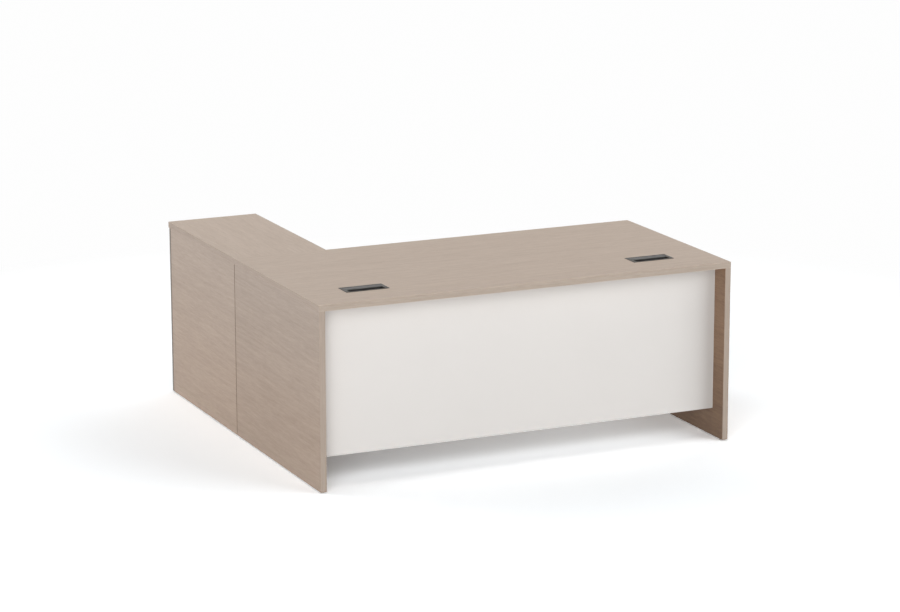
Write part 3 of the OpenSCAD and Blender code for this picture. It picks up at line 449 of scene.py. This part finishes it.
def melamine(name, tone, roughness=0.42, mottle=0.02):
    """A plain board face: a fine pebbled surface with a faint cloudiness and a few scuffs."""
    finish = Finish(name, roughness, specular=0.4)
    clouds = finish.noise((3.0, 3.0, 3.0), 3.0)
    scuffs = finish.ramp(finish.noise((7.0, 7.0, 90.0), 4.0, 0.7), 0.7, 0.8, 0.0, 10 * mottle)
    shade = shaded(tone, 1 - 2 * mottle)
    base = finish.blend(finish.ramp(clouds, 0.35, 0.65), shade, shaded(tone, 1 + mottle))
    finish.colour(finish.blend(scuffs, base, shade))
    pebbles = finish.noise((1500, 1500, 1500), 2.0)
    finish.rough(finish.ramp(clouds, 0.3, 0.7, roughness - 0.04, roughness + 0.06))
    finish.bump(pebbles, 0.04 * MM)
    return finish.material


def brushed_metal(name, tone, axis, roughness):
    """Metal with fine lines along one axis, cloudy gloss and tiny nicks."""
    finish = Finish(name, roughness, metallic=1.0)
    strokes = finish.layer(BRUSH_LINES, axis)
    clouds = finish.noise((30, 30, 30), 3.0)
    finish.colour(finish.blend(finish.ramp(strokes, 0.3, 0.7), shaded(tone, 0.82), tone))
    mixed = finish.math("ADD", finish.math("MULTIPLY", strokes, 0.6), finish.math("MULTIPLY", clouds, 0.4))
    finish.rough(finish.ramp(mixed, 0.3, 0.7, roughness - 0.08, roughness + 0.1))
    finish.bump(strokes, 0.02 * MM)
    return finish.material


def plated_metal(name, tone, roughness=0.3):
    """Zinc or nickel plate: a spangled, slightly stained finish."""
    finish = Finish(name, roughness, metallic=1.0)
    spangle = finish.add("ShaderNodeTexVoronoi", {"Vector": finish.stretched((260, 260, 260)),
                                                  "Scale": 1.0}).outputs["Distance"]
    stain = finish.noise((60, 60, 60), 4.0, 0.65)
    mixed = finish.math("MULTIPLY_ADD", spangle, 0.35, finish.math("MULTIPLY", stain, 0.8))
    finish.colour(finish.blend(finish.ramp(mixed, 0.35, 0.8), tone, shaded(tone, 0.72)))
    finish.rough(finish.ramp(stain, 0.3, 0.7, roughness - 0.06, roughness + 0.14))
    finish.bump(stain, 0.03 * MM)
    return finish.material


def coated_metal(name, tone, axis, roughness=0.5):
    """Dark lacquer over brushed metal: the lines still show, with small worn dots on the raised spots."""
    finish = Finish(name, roughness, specular=0.12)
    strokes = finish.layer(BRUSH_LINES, axis)
    clouds = finish.noise((35, 35, 35), 3.0)
    base = finish.blend(finish.ramp(strokes, 0.3, 0.7), shaded(tone, 0.8), tone)
    dots = finish.ramp(finish.noise((700, 700, 700), 2.0), 0.72, 0.78, 0.0, 0.5)
    finish.colour(finish.blend(dots, base, shaded(tone, 1.5)))
    finish.rough(finish.ramp(clouds, 0.3, 0.7, roughness - 0.06, roughness + 0.08))
    finish.bump(strokes, 0.03 * MM)
    return finish.material


def moulded(name, tone, roughness=0.5, gloss=0.45):
    """Moulded plastic or powder coat: an even fine grain."""
    finish = Finish(name, roughness, specular=gloss)
    grain = finish.noise((1800, 1800, 1800), 2.0, 0.6)
    clouds = finish.noise((25, 25, 25), 3.0)
    finish.colour(finish.blend(finish.ramp(clouds, 0.3, 0.7), shaded(tone, 0.8), tone))
    finish.rough(finish.ramp(grain, 0.35, 0.65, roughness - 0.05, roughness + 0.1))
    finish.bump(grain, 0.08 * MM)
    return finish.material


def beech_wood(name):
    """Plain beech: soft rings and short dark flecks."""
    finish = Finish(name, 0.6, specular=0.3)
    rings = finish.noise((300, 300, 300), 3.0)
    flecks = finish.ramp(finish.noise((900, 900, 150), 1.0), 0.62, 0.68)
    wood = finish.blend(rings, srgb(205, 172, 126), srgb(226, 200, 158))
    finish.colour(finish.blend(finish.math("MULTIPLY", flecks, 0.5), wood, srgb(176, 138, 96)))
    finish.bump(rings, 0.06 * MM)
    return finish.material


def paint(name, material):
    """Gives a finished part one material in all its slots."""
    slots = nodes[name].data.materials
    slots.clear()
    slots.append(material)


def finish_boards():
    for name, grain in GRAIN.items():
        if name in TOPS:
            look = TOP_FACE_LIT, TOP_BAND, TOP_GLOSS
        elif name in PANELS + FRONTS:
            look = SIDE_FACE_SHADED, SIDE_BAND, SIDE_GLOSS
        elif name == "cabinet_rear_end_panel":
            look = CARCASS, REAR_BAND, SIDE_GLOSS
        else:
            look = CARCASS, CARCASS, SIDE_GLOSS
        paint(name, laminate(name + "_laminate", name, grain, *look))
    paint("modesty_panel", melamine("white_melamine", srgb(206, 203, 200), mottle=0.003))
    foil = melamine("drawer_foil", srgb(206, 203, 198), 0.5)
    for n in DRAWERS:
        for part in ("sides", "back", "bottom"):
            paint("drawer_%d_%s" % (n, part), foil)


def finish_fittings():
    zinc = plated_metal("zinc_plate", (0.62, 0.63, 0.65, 1))
    slide_zinc = brushed_metal("slide_zinc", (0.66, 0.67, 0.68, 1), X, 0.3)
    for name in ("modesty_brackets", "joining_plates", "cam_housings", "cam_bolts", "lock_tongue",
                 "panel_screws", "cable_box_hinge_pins", "door_strike"):
        paint(name, zinc)
    for name in ["slide_outer_members", "shelf_pins", "door_pivots"] + [
            "drawer_%d_%s_slides" % (n, which) for n in DRAWERS for which in ("inner", "middle")]:
        paint(name, slide_zinc)
    paint("wooden_dowels", beech_wood("fluted_beech"))
    paint("floor_glides", moulded("glide_nylon", srgb(44, 43, 42)))
    paint("door_catch", moulded("catch_plastic", srgb(96, 90, 84)))
    paint("cable_tray", moulded("tray_powder_coat", srgb(58, 58, 60), 0.55))
    frame_metal = coated_metal("box_lacquer", srgb(57, 52, 46), X)
    lid_metal = coated_metal("lid_lacquer", srgb(75, 74, 72), X)
    for side in SIDES:
        paint(side + "_cable_box_frame", frame_metal)
        paint(side + "_cable_box_lid", lid_metal)
        paint(side + "_cable_box_brush", moulded(side + "_bristle_black", srgb(30, 30, 31)))
    grey = brushed_metal("pull_satin", srgb(120, 120, 121), Y, 0.36)
    for n in DRAWERS:
        paint("drawer_%d_pull" % n, grey)
    paint("door_pull", brushed_metal("door_pull_satin", srgb(120, 120, 121), Z, 0.36))
    nickel = plated_metal("lock_nickel", (0.46, 0.45, 0.44, 1), 0.24)
    paint("lock_housing", nickel)
    paint("lock_cylinder", nickel)


finish_boards()
finish_fittings()


# Edges: the lids' corners are eased

LID_ROUND = 0.4 * MM
SHARPEST_SMOOTH = math.radians(40)
SAME_POINT = 0.01 * MM


def soften(name):
    """Rounds a part's sharp edges a little."""
    part = nodes[name]
    weld = part.modifiers.new("weld", "WELD")
    weld.merge_threshold = SAME_POINT
    bevel = part.modifiers.new("soft_edges", "BEVEL")
    bevel.limit_method = "ANGLE"
    bevel.angle_limit = SHARPEST_SMOOTH
    bevel.width = LID_ROUND
    bevel.segments = 2


for side in SIDES:
    soften(side + "_cable_box_lid")


# Pieces that repeat along a rule

class Pattern(NodeTree):
    """A geometry node tree under construction. Its sizes are named inputs, set by their identifiers."""

    def __init__(self, name, **sizes):
        super().__init__(bpy.data.node_groups.new(name, "GeometryNodeTree"))
        sockets = self.tree.interface
        sockets.new_socket("Geometry", in_out="INPUT", socket_type="NodeSocketGeometry")
        self.keys = {}
        for label, value in sizes.items():
            kind = "NodeSocketInt" if isinstance(value, int) else "NodeSocketFloat"
            self.keys[label] = sockets.new_socket(label, in_out="INPUT", socket_type=kind).identifier
        sockets.new_socket("Geometry", in_out="OUTPUT", socket_type="NodeSocketGeometry")
        self.sizes = sizes
        self.given = self.tree.nodes.new("NodeGroupInput").outputs
        self.result = self.tree.nodes.new("NodeGroupOutput").inputs[0]

    def vector(self, x=0.0, y=0.0, z=0.0):
        return self.add("ShaderNodeCombineXYZ", {0: x, 1: y, 2: z}).outputs[0]

    def moved(self, geometry, offset=None, turn=None):
        given = {"Geometry": geometry}
        for key, value in (("Translation", offset), ("Rotation", turn)):
            if value is not None:
                given[key] = value
        return self.add("GeometryNodeTransform", given).outputs[0]

    def join(self, *parts):
        made = self.add("GeometryNodeJoinGeometry")
        for part in reversed(parts):
            self.tree.links.new(part, made.inputs[0])
        return made.outputs[0]

    def finish(self, geometry, material):
        real = self.add("GeometryNodeRealizeInstances", {"Geometry": geometry}).outputs[0]
        dressed = self.add("GeometryNodeSetMaterial", {"Geometry": real, "Material": material}).outputs[0]
        self.tree.links.new(dressed, self.result)

    def grow(self, name, base):
        """Runs the tree on a base mesh and returns the plain piece."""
        seedling = bpy.data.objects.new(name + "_base", base)
        scene.collection.objects.link(seedling)
        run = seedling.modifiers.new("pattern", "NODES")
        run.node_group = self.tree
        for label, value in self.sizes.items():
            run[self.keys[label]] = value
        ready = seedling.evaluated_get(bpy.context.evaluated_depsgraph_get())
        mesh = bpy.data.meshes.new_from_object(ready)
        bpy.data.objects.remove(seedling)
        mesh.name = name
        piece = bpy.data.objects.new(name, mesh)
        scene.collection.objects.link(piece)
        return piece


def stand_for(piece, body, slot, *parts):
    """Shows a piece in place of plain parts, on their body; the slot argument is not used."""
    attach(piece, body)
    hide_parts(*parts)


def point_mesh(name, points, **vectors):
    """Loose points, each with its own vectors or values as named attributes."""
    mesh = bpy.data.meshes.new(name)
    mesh.from_pydata(points, [], [])
    for label, values in vectors.items():
        wide = not isinstance(values[0], float)
        attribute = mesh.attributes.new(label, "FLOAT_VECTOR" if wide else "FLOAT", "POINT")
        for item, value in zip(attribute.data, values):
            if wide:
                item.vector = value
            else:
                item.value = value
    return mesh


def corner_box(name):
    """A part's low and high corner."""
    low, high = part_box(name)
    return Vector(low), Vector(high)


# Brushes: a clamped strip, and rows of fine strands that reach back under the lid's lip

STRIP_DEPTH = 5 * MM
STRIP_ROUND, STRIP_PINCH = 1.0 * MM, 1.3 * MM
BRISTLE_ROWS = 6
BRISTLE_COLUMNS = 240
BRISTLE_RADIUS = 0.32 * MM
BRISTLE_TAPER = 0.85
BRISTLE_SCATTER = 0.36 * MM
# The bristles' block: its height, what its width leaves free, and how deep the roots sit in the strip
BRISTLE_HEIGHT, BRISTLE_MARGIN, BRISTLE_ROOT = 3.4 * MM, 3 * MM, 1 * MM
BRISTLE_DROP = 0.6 * MM
# Least and most turn of a bristle about each axis, in radians
BRISTLE_TURNS = (-0.028, 0, -0.035), (0.012, 3, 0.035)
SHORTEST_BRISTLE = 0.96


def bristle_pattern(low, high, material):
    """Strands on an even grid, each tilted and cut a little differently."""
    room, centre = high - low, (low + high) / 2
    pattern = Pattern("bristles", Columns=BRISTLE_COLUMNS, Rows=BRISTLE_ROWS, Radius=BRISTLE_RADIUS,
                      Length=room.y - STRIP_DEPTH + BRISTLE_ROOT, Width=room.x - BRISTLE_MARGIN,
                      Height=BRISTLE_HEIGHT, Seed=7)
    given = pattern.given

    def drawn(kind, least, most):
        """A random value between two, of the tree's seed."""
        low_key, high_key, found = (0, 1, 0) if kind == "FLOAT_VECTOR" else (2, 3, 1)
        return pattern.add("FunctionNodeRandomValue", {low_key: least, high_key: most,
                                                       "Seed": given["Seed"]}, data_type=kind).outputs[found]

    grid = pattern.add("GeometryNodeMeshGrid", {"Size X": given["Width"], "Size Y": given["Height"],
                                                "Vertices X": given["Columns"],
                                                "Vertices Y": given["Rows"]}).outputs[0]
    upright = pattern.moved(grid, turn=(math.pi / 2, 0, 0))
    jitter = drawn("FLOAT_VECTOR", (-BRISTLE_SCATTER, 0, -BRISTLE_SCATTER / 2),
                   (BRISTLE_SCATTER, 0, BRISTLE_SCATTER / 2))
    roots = pattern.add("GeometryNodeSetPosition", {"Geometry": upright, "Offset": jitter}).outputs[0]
    strand = pattern.add("GeometryNodeMeshCone", {
        "Vertices": 4, "Radius Top": pattern.math("MULTIPLY", given["Radius"], BRISTLE_TAPER),
        "Radius Bottom": given["Radius"], "Depth": given["Length"]}).outputs[0]
    tilt = drawn("FLOAT_VECTOR", *BRISTLE_TURNS)
    length = drawn("FLOAT", SHORTEST_BRISTLE, 1.0)
    lying = pattern.moved(strand, turn=(-math.pi / 2, 0, 0))
    placed = pattern.add("GeometryNodeInstanceOnPoints", {
        "Points": roots, "Instance": lying, "Rotation": tilt,
        "Scale": pattern.vector(1.0, length, 1.0)}).outputs[0]
    middle = pattern.vector(centre.x, low.y + STRIP_DEPTH - BRISTLE_ROOT / 2, centre.z - BRISTLE_DROP)
    pattern.finish(pattern.moved(placed, offset=middle), material)
    return pattern


def extrude_steps(name, steps, material):
    """A solid along X through a list of (x, outline), each outline with as many points in Y and Z."""
    mesh = bpy.data.meshes.new(name)
    form = bmesh.new()
    rings = [[form.verts.new((x, y, z)) for y, z in outline] for x, outline in steps]
    form.faces.new(rings[0])
    form.faces.new(list(reversed(rings[-1])))
    for near, far in zip(rings, rings[1:]):
        for i in range(len(near)):
            j = (i + 1) % len(near)
            form.faces.new((near[j], near[i], far[i], far[j]))
    bmesh.ops.recalc_face_normals(form, faces=form.faces)
    form.to_mesh(mesh)
    form.free()
    mesh.materials.append(material)
    piece = bpy.data.objects.new(name, mesh)
    scene.collection.objects.link(piece)
    return piece


def strip_outline(low, high):
    """A folded channel: a flat back, rounded corners and lips that pinch the bristles."""
    y0, y1, r = low.y, low.y + STRIP_DEPTH, STRIP_ROUND

    def half(z, inward):
        """From the back to the lip, at the strip's under or upper side."""
        return [(y0, z + inward * r), (y0 + 0.3 * r, z + inward * 0.3 * r), (y0 + r, z), (y1 - 1.5 * r, z),
                (y1 - 0.5 * r, z + inward * 0.35 * r), (y1, z + inward * STRIP_PINCH)]

    return half(low.z, 1) + half(high.z, -1)[::-1]


def add_brushes():
    for side in SIDES:
        node = side + "_cable_box_brush"
        low, high = corner_box(node)
        outline = strip_outline(low, high)
        strip = extrude_steps(side + "_brush_strip", [(low.x, outline), (high.x, outline)], strip_black)
        stand_for(strip, "desk", "brush_nylon", node)
        strands = bristle_pattern(low, high, bristle_nylon).grow(side + "_bristles",
                                                                 point_mesh("root", [(0, 0, 0)]))
        stand_for(strands, "desk", "brush_nylon", node)


bristle_nylon = moulded("bristle_nylon", srgb(30, 30, 32), 0.6, 0.12)
strip_black = moulded("brush_strip_black", srgb(32, 32, 34), 0.6, 0.12)
add_brushes()


# Screws: a domed head with a cross recess, and a shank

HEAD_SIDES, SHANK_SIDES = 28, 14
# How sharply and how far the dome draws in, and the recess's depth, which is half above the head
DOME_POWER, DOME_SHRINK, RECESS_SHARE = 3.0, 0.62, 1.3
# A point further out than this share of the widest one is on the head's rim
RIM_SHARE = 0.9


def islands(name):
    """The separate solids of a part, each as a list of its points, in the order of the part's points."""
    mesh = nodes[name].data
    form = bmesh.new()
    form.from_mesh(mesh)
    bmesh.ops.remove_doubles(form, verts=form.verts, dist=SAME_POINT)
    reached, found = set(), []
    for start in form.verts:
        if start in reached:
            continue
        reached.add(start)
        stack, group = [start], []
        while stack:
            vert = stack.pop()
            group.append(vert.co.copy())
            for edge in vert.link_edges:
                other = edge.other_vert(vert)
                if other not in reached:
                    reached.add(other)
                    stack.append(other)
        found.append(group)
    form.free()
    return found


def screw_places(name):
    """For each screw: the middle of its seat, the way it drives, and its shank's length."""
    seats, drives, lengths = [], [], []
    for group in islands(name):
        low = Vector([min(p[i] for p in group) for i in range(3)])
        high = Vector([max(p[i] for p in group) for i in range(3)])
        size = high - low
        axis = max(range(3), key=lambda i: size[i])
        middle = (low + high) / 2
        others = [i for i in range(3) if i != axis]

        def reach(p):
            return math.hypot(p[others[0]] - middle[others[0]], p[others[1]] - middle[others[1]])

        widest = max(reach(p) for p in group)
        head = [p[axis] for p in group if reach(p) > RIM_SHARE * widest]
        at_low = sum(head) / len(head) < middle[axis]
        seat = middle.copy()
        seat[axis] = max(head) if at_low else min(head)
        drive = Vector((0, 0, 0))
        drive[axis] = 1 if at_low else -1
        seats.append(seat)
        drives.append(drive)
        lengths.append((high[axis] - seat[axis]) if at_low else (seat[axis] - low[axis]))
    return seats, drives, lengths


def screw_pattern(material):
    """A screw on each point, driven along the point's own vector, with a shank of its own length."""
    pattern = Pattern("panel_screw", HeadRadius=4 * MM, HeadHeight=1.6 * MM, ShankRadius=2 * MM,
                      RecessLength=4.2 * MM, RecessWidth=0.9 * MM)
    given = pattern.given
    drum = pattern.add("GeometryNodeMeshCylinder", {
        "Vertices": HEAD_SIDES, "Side Segments": 6, "Fill Segments": 1, "Radius": given["HeadRadius"],
        "Depth": given["HeadHeight"]}, fill_type="NGON").outputs[0]
    at = pattern.add("GeometryNodeInputPosition").outputs[0]
    split = pattern.add("ShaderNodeSeparateXYZ", {0: at}).outputs
    half = pattern.math("MULTIPLY", given["HeadHeight"], 0.5)
    rise = pattern.math("DIVIDE", pattern.math("ADD", split[2], half), given["HeadHeight"])
    shrink = pattern.math("SQRT", pattern.math("SUBTRACT", 1.0, pattern.math(
        "MULTIPLY", pattern.math("POWER", rise, DOME_POWER), DOME_SHRINK)))
    domed = pattern.add("GeometryNodeSetPosition", {"Geometry": drum, "Position": pattern.vector(
        pattern.math("MULTIPLY", split[0], shrink), pattern.math("MULTIPLY", split[1], shrink),
        split[2])}).outputs[0]
    top = pattern.vector(0.0, 0.0, half)
    depth = pattern.math("MULTIPLY", given["HeadHeight"], RECESS_SHARE)
    bars = [pattern.add("GeometryNodeMeshCube", {"Size": pattern.vector(a, b, depth)}).outputs[0]
            for a, b in ((given["RecessLength"], given["RecessWidth"]),
                         (given["RecessWidth"], given["RecessLength"]))]
    cross = pattern.add("GeometryNodeMeshBoolean", operation="UNION", solver="EXACT")
    for bar in bars:
        pattern.tree.links.new(pattern.moved(bar, offset=top), cross.inputs[1])
    cut = pattern.add("GeometryNodeMeshBoolean", {0: domed}, operation="DIFFERENCE", solver="EXACT")
    pattern.tree.links.new(cross.outputs[0], cut.inputs[1])
    flipped = pattern.moved(cut.outputs[0], turn=(math.pi, 0, 0))
    head = pattern.moved(flipped, offset=pattern.vector(0.0, 0.0, pattern.math("MULTIPLY", half, -1.0)))
    shank = pattern.moved(pattern.add("GeometryNodeMeshCylinder", {
        "Vertices": SHANK_SIDES, "Radius": given["ShankRadius"], "Depth": 1.0}, fill_type="NGON").outputs[0],
        offset=(0, 0, 0.5))
    aim = pattern.add("GeometryNodeInputNamedAttribute", {"Name": "drive"},
                      data_type="FLOAT_VECTOR").outputs[0]
    long = pattern.add("GeometryNodeInputNamedAttribute", {"Name": "shank"}, data_type="FLOAT").outputs[0]
    turn = pattern.add("FunctionNodeAlignRotationToVector", {"Vector": aim}, axis="Z").outputs[0]
    heads = pattern.add("GeometryNodeInstanceOnPoints", {
        "Points": given["Geometry"], "Instance": head, "Rotation": turn}).outputs[0]
    shanks = pattern.add("GeometryNodeInstanceOnPoints", {
        "Points": given["Geometry"], "Instance": shank, "Rotation": turn,
        "Scale": pattern.vector(1.0, 1.0, long)}).outputs[0]
    pattern.finish(pattern.join(heads, shanks), material)
    return pattern


def add_screws():
    seats, drives, lengths = screw_places("panel_screws")
    base = point_mesh("screw_seats", seats, drive=drives, shank=lengths)
    stand_for(screw_pattern(screw_zinc).grow("panel_screw_set", base), "desk", "zinc_steel", "panel_screws")


screw_zinc = plated_metal("screw_zinc", (0.66, 0.66, 0.66, 1), 0.26)
add_screws()


# The cupboard door's magnet catch and its strike plate

CATCH_ROUND, STRIKE_ROUND = 1.5 * MM, 2.0 * MM
CATCH_EASE, CATCH_MOUTH, CATCH_WALL = 0.8 * MM, 1.2 * MM, 2.5 * MM
PLATE_ROUND, MAGNET_BACK, STRIKE_RIM = 0.3 * MM, 0.5 * MM, 0.35 * MM


def rounded_outline(low, high, radius, steps=4):
    """A rectangle with round corners, as points in Y and Z."""
    corners = ((high.y, high.z, 0), (low.y, high.z, 90), (low.y, low.z, 180), (high.y, low.z, 270))
    points = []
    for y, z, start in corners:
        middle = (y - math.copysign(radius, y - (low.y + high.y) / 2),
                  z - math.copysign(radius, z - (low.z + high.z) / 2))
        for i in range(steps + 1):
            angle = math.radians(start + 90 * i / steps)
            points.append((middle[0] + radius * math.cos(angle), middle[1] + radius * math.sin(angle)))
    return points


def shrunk(low, high, by):
    """A box's corners, drawn in along Y and Z."""
    return Vector((low.x, low.y + by, low.z + by)), Vector((high.x, high.y - by, high.z - by))


def add_catch():
    """A case with eased corners, and two pole plates either side of a magnet in its mouth."""
    low, high = corner_box("door_catch")
    ease, mouth = CATCH_EASE, CATCH_MOUTH
    full = rounded_outline(low, high, CATCH_ROUND)
    eased = rounded_outline(*shrunk(low, high, ease), CATCH_ROUND)
    case = extrude_steps("catch_case", [(low.x, eased), (low.x + ease, full), (high.x - mouth - ease, full),
                                        (high.x - mouth, eased)], catch_plastic)
    stand_for(case, "desk", "catch_plastic", "door_catch")
    inner_low, inner_high = shrunk(low, high, CATCH_WALL)
    depth = inner_high.z - inner_low.z
    for name, start, end, back, material in (("catch_pole_low", 0.0, 0.2, 0.0, pole_zinc),
                                             ("catch_magnet", 0.3, 0.7, MAGNET_BACK, magnet_black),
                                             ("catch_pole_high", 0.8, 1.0, 0.0, pole_zinc)):
        near = Vector((0, inner_low.y, inner_low.z + start * depth))
        far = Vector((0, inner_high.y, inner_low.z + end * depth))
        outline = rounded_outline(near, far, PLATE_ROUND, 2)
        plate = extrude_steps(name, [(high.x - mouth, outline), (high.x - back, outline)], material)
        stand_for(plate, "desk", "catch_plastic", "door_catch")


def add_strike():
    """A thin plate with round corners, pressed in a little along its rim."""
    low, high = corner_box("door_strike")
    full = rounded_outline(low, high, STRIKE_ROUND)
    steps = [(high.x, full), (low.x + STRIKE_RIM, full),
             (low.x, rounded_outline(*shrunk(low, high, STRIKE_RIM), STRIKE_ROUND))]
    stand_for(extrude_steps("strike_plate", steps, pole_zinc), "door", "zinc_steel", "door_strike")


catch_plastic = moulded("catch_case_plastic", srgb(96, 90, 84))
magnet_black = moulded("magnet_ferrite", srgb(42, 42, 44), 0.45)
pole_zinc = plated_metal("pole_zinc", (0.62, 0.63, 0.65, 1), 0.28)
add_catch()
add_strike()
